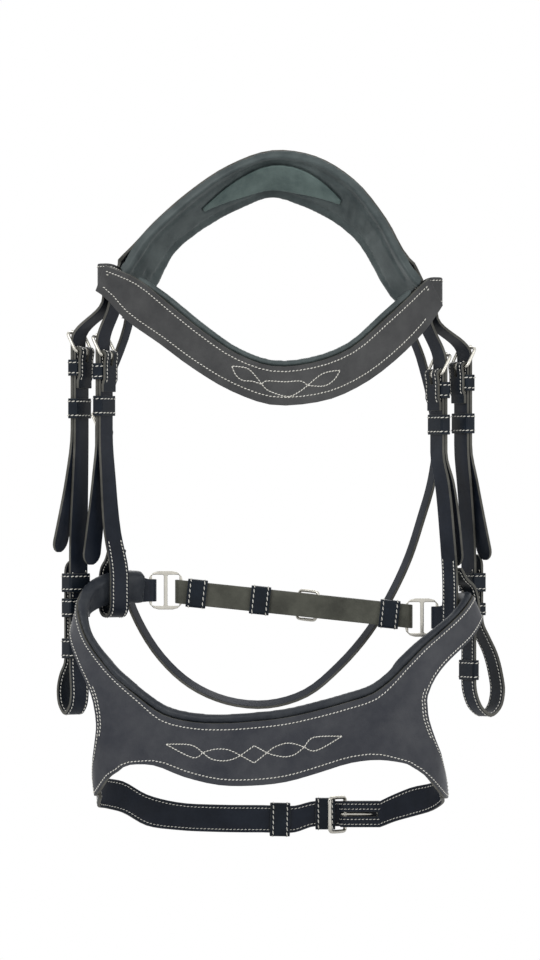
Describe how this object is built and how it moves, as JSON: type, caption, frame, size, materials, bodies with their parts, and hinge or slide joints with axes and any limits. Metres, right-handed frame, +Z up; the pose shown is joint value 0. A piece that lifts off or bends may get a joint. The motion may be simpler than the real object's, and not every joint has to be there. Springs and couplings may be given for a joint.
{
  "type": "horse bridle",
  "caption": "Horse bridle with a padded headpiece, curved browband, wide shaped noseband with rear and chin straps, cheekpieces with bit loops, and a throatlatch.",
  "frame": {"origin": "under the middle of the padded headpiece, where a tack hook holds it", "axes": "+Z up, +X across the head to the right as seen from the front, -Y the way that the browband and the noseband front face"},
  "size_m": [0.3636, 0.1627, 0.5504],
  "materials": {
    "leather": "satin",
    "lining": "matte",
    "insert": "matte",
    "metal": "polished"
  },
  "bodies": {
    "cheek_left_body": {"bit_keeper_lower_left": "leather", "bit_keeper_middle_left": "leather", "bit_keeper_upper_left": "leather", "cheek_billet_left": "leather", "cheek_left_frame": "metal", "cheek_left_keeper": "leather", "cheekpiece_left": "leather", "hook_stud_left": "metal"},
    "cheek_right_body": {"bit_keeper_lower_right": "leather", "bit_keeper_middle_right": "leather", "bit_keeper_upper_right": "leather", "cheek_billet_right": "leather", "cheek_right_frame": "metal", "cheek_right_keeper": "leather", "cheekpiece_right": "leather", "hook_stud_right": "metal"},
    "browband_body": {"browband_leather": "leather", "browband_loop_left": "leather", "browband_loop_right": "leather", "browband_padding": "lining"},
    "cheek_left_runner_body": {"cheek_left_runner": "leather"},
    "cheek_left_tongue_body": {"cheek_left_tongue": "metal"},
    "cheek_right_runner_body": {"cheek_right_runner": "leather"},
    "cheek_right_tongue_body": {"cheek_right_tongue": "metal"},
    "noseband_body": {"crank_frame": "metal", "crank_keeper_1": "leather", "crank_keeper_2": "leather", "crank_keeper_3": "leather", "crank_strap": "leather", "drop_keeper_1": "leather", "drop_keeper_2": "leather", "drop_strap_left": "leather", "drop_strap_right": "leather", "jaw_ring_left": "metal", "jaw_ring_right": "metal", "noseband_leather": "leather", "noseband_padding": "lining"},
    "crank_tongue_body": {"crank_tongue": "metal"},
    "headpiece": {"crown_leather": "leather", "poll_insert": "insert", "poll_pad": "lining"},
    "drop_frame_body": {"drop_frame": "metal"},
    "drop_tongue_body": {"drop_tongue": "metal"},
    "hangers_body": {"hanger_left": "leather", "hanger_right": "leather", "nose_billet_left": "leather", "nose_billet_right": "leather", "nose_left_frame": "metal", "nose_left_keeper": "leather", "nose_right_frame": "metal", "nose_right_keeper": "leather"},
    "nose_left_runner_body": {"nose_left_runner": "leather"},
    "nose_left_tongue_body": {"nose_left_tongue": "metal"},
    "nose_right_runner_body": {"nose_right_runner": "leather"},
    "nose_right_tongue_body": {"nose_right_tongue": "metal"},
    "throatlatch_body": {"throat_billet": "leather", "throat_frame": "metal", "throatlatch": "leather"},
    "throat_tongue_body": {"throat_tongue": "metal"}
  },
  "joints": [
    {"name": "browband_tilt", "type": "hinge", "parent": "headpiece", "child": "browband_body", "pos_m": [0, -0.003, -0.0905], "axis": [0.9986, 0, -0.0536], "range_deg": [-2, 2]},
    {"name": "cheek_left_swing", "type": "hinge", "parent": "headpiece", "child": "cheek_left_body", "pos_m": [-0.121, -0.003, -0.084], "axis": [0.8192, -0.5736, 0], "range_deg": [0, 6]},
    {"name": "cheek_right_swing", "type": "hinge", "parent": "headpiece", "child": "cheek_right_body", "pos_m": [0.121, -0.003, -0.097], "axis": [0.8192, 0.5736, 0], "range_deg": [0, 6]},
    {"name": "hangers_swing", "type": "hinge", "parent": "headpiece", "child": "hangers_body", "pos_m": [0, -0.003, -0.0905], "axis": [-0.9986, 0, 0.0536], "range_deg": [0, 4]},
    {"name": "noseband_tilt", "type": "hinge", "parent": "hangers_body", "child": "noseband_body", "pos_m": [0.014, 0.01, -0.3375], "axis": [0.9986, -0.0035, -0.0531], "range_deg": [-4, 4]},
    {"name": "throatlatch_swing", "type": "hinge", "parent": "headpiece", "child": "throatlatch_body", "pos_m": [0, -0.003, -0.0905], "axis": [0.9986, 0, -0.0536], "range_deg": [0, 5]},
    {"name": "cheek_left_tongue_hinge", "type": "hinge", "parent": "cheek_left_body", "child": "cheek_left_tongue_body", "pos_m": [-0.14857, -0.00638, -0.139], "axis": [-0.5736, -0.8192, 0], "range_deg": [0, 45]},
    {"name": "nose_left_tongue_hinge", "type": "hinge", "parent": "hangers_body", "child": "nose_left_tongue_body", "pos_m": [-0.12877, -0.01338, -0.142], "axis": [-0.5736, -0.8192, 0], "range_deg": [0, 16]},
    {"name": "cheek_left_runner_slide", "type": "slide", "parent": "cheek_left_body", "child": "cheek_left_runner_body", "axis": [0, 0, -1], "range_m": [-0.0015, 0.006]},
    {"name": "nose_left_runner_slide", "type": "slide", "parent": "hangers_body", "child": "nose_left_runner_body", "axis": [0, 0, -1], "range_m": [-0.0015, 0.006]},
    {"name": "cheek_right_tongue_hinge", "type": "hinge", "parent": "cheek_right_body", "child": "cheek_right_tongue_body", "pos_m": [0.15077, -0.00638, -0.151], "axis": [-0.5736, 0.8192, 0], "range_deg": [0, 45]},
    {"name": "nose_right_tongue_hinge", "type": "hinge", "parent": "hangers_body", "child": "nose_right_tongue_body", "pos_m": [0.13117, -0.01338, -0.157], "axis": [-0.5736, 0.8192, 0], "range_deg": [0, 16]},
    {"name": "cheek_right_runner_slide", "type": "slide", "parent": "cheek_right_body", "child": "cheek_right_runner_body", "axis": [0, 0, -1], "range_m": [-0.0015, 0.006]},
    {"name": "nose_right_runner_slide", "type": "slide", "parent": "hangers_body", "child": "nose_right_runner_body", "axis": [0, 0, -1], "range_m": [-0.0015, 0.006]},
    {"name": "throat_tongue_hinge", "type": "hinge", "parent": "throatlatch_body", "child": "throat_tongue_body", "pos_m": [-0.13217, 0.02562, -0.203], "axis": [-0.5736, -0.8192, 0], "range_deg": [0, 45]},
    {"name": "crank_tongue_hinge", "type": "hinge", "parent": "noseband_body", "child": "crank_tongue_body", "pos_m": [0.038, 0.03526, -0.343], "axis": [-0.106, 0, -0.9944], "range_deg": [0, 45]},
    {"name": "drop_frame_hinge", "type": "hinge", "parent": "noseband_body", "child": "drop_frame_body", "pos_m": [0.0604, 0.021, -0.5095], "axis": [0, 0, 1], "range_deg": [-35, 25]},
    {"name": "drop_tongue_hinge", "type": "hinge", "parent": "noseband_body", "child": "drop_tongue_body", "pos_m": [0.0604, 0.021, -0.5095], "axis": [0, 0, -1], "range_deg": [0, 85]}
  ]
}
